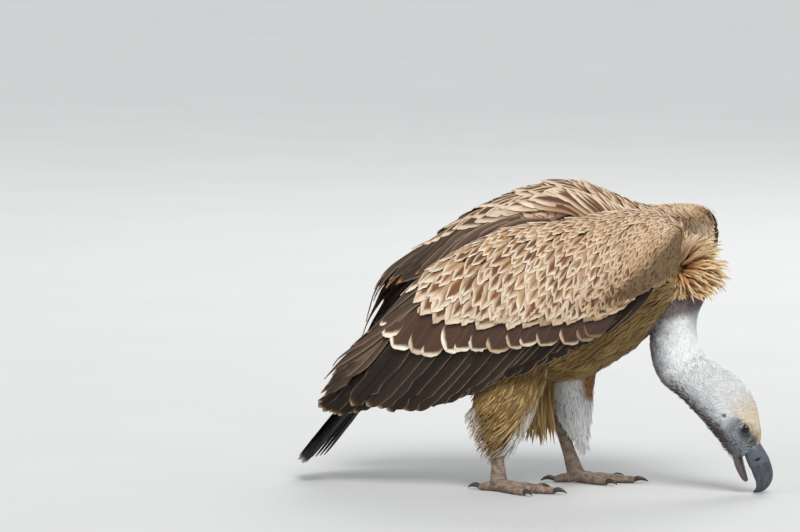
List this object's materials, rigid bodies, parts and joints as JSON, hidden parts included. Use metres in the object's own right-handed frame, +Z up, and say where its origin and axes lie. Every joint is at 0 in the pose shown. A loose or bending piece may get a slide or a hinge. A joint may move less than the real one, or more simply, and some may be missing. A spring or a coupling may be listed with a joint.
{
  "type": "griffon vulture figure",
  "caption": "Life-size still figure of a young griffon vulture that stands with wings folded and its head lowered to the ground, bill slightly open.",
  "frame": {"origin": "on the floor under the middle of the whole figure", "axes": "+X the way the bird faces, +Y its left side, +Z up"},
  "size_m": [0.7544, 0.2828, 0.466],
  "materials": {
    "body_feathers": "soft overlapping body feathers, golden brown with paler streaks",
    "ruff_feathers": "long pointed collar feathers, rufous to buff",
    "down": "short dense white down, blue-grey skin round the eye",
    "horn": "satin horn, slate-blue cere",
    "eye": "polished dark brown eye",
    "wing_feathers": "sandy coverts with cream edges over dark brown flight feathers",
    "flight_feathers": "smooth blackish-brown tail feathers",
    "trouser_feathers": "loose streaked thigh feathers",
    "leg_scales": "dry grey-brown scales",
    "claw": "satin dark horn"
  },
  "bodies": {
    "root": {"bill_lower": "horn", "bill_upper": "horn", "claw_left_hind": "claw", "claw_left_inner": "claw", "claw_left_middle": "claw", "claw_left_outer": "claw", "claw_right_hind": "claw", "claw_right_inner": "claw", "claw_right_middle": "claw", "claw_right_outer": "claw", "eye_left": "eye", "eye_right": "eye", "foot_left": "leg_scales", "foot_right": "leg_scales", "head": "down", "neck_lower": "down", "neck_upper": "down", "ruff": "ruff_feathers", "shank_left": "leg_scales", "shank_right": "leg_scales", "tail": "flight_feathers", "thigh_left": "trouser_feathers", "thigh_right": "trouser_feathers", "torso": "body_feathers", "wing_left": "wing_feathers", "wing_right": "wing_feathers"}
  },
  "joints": []
}
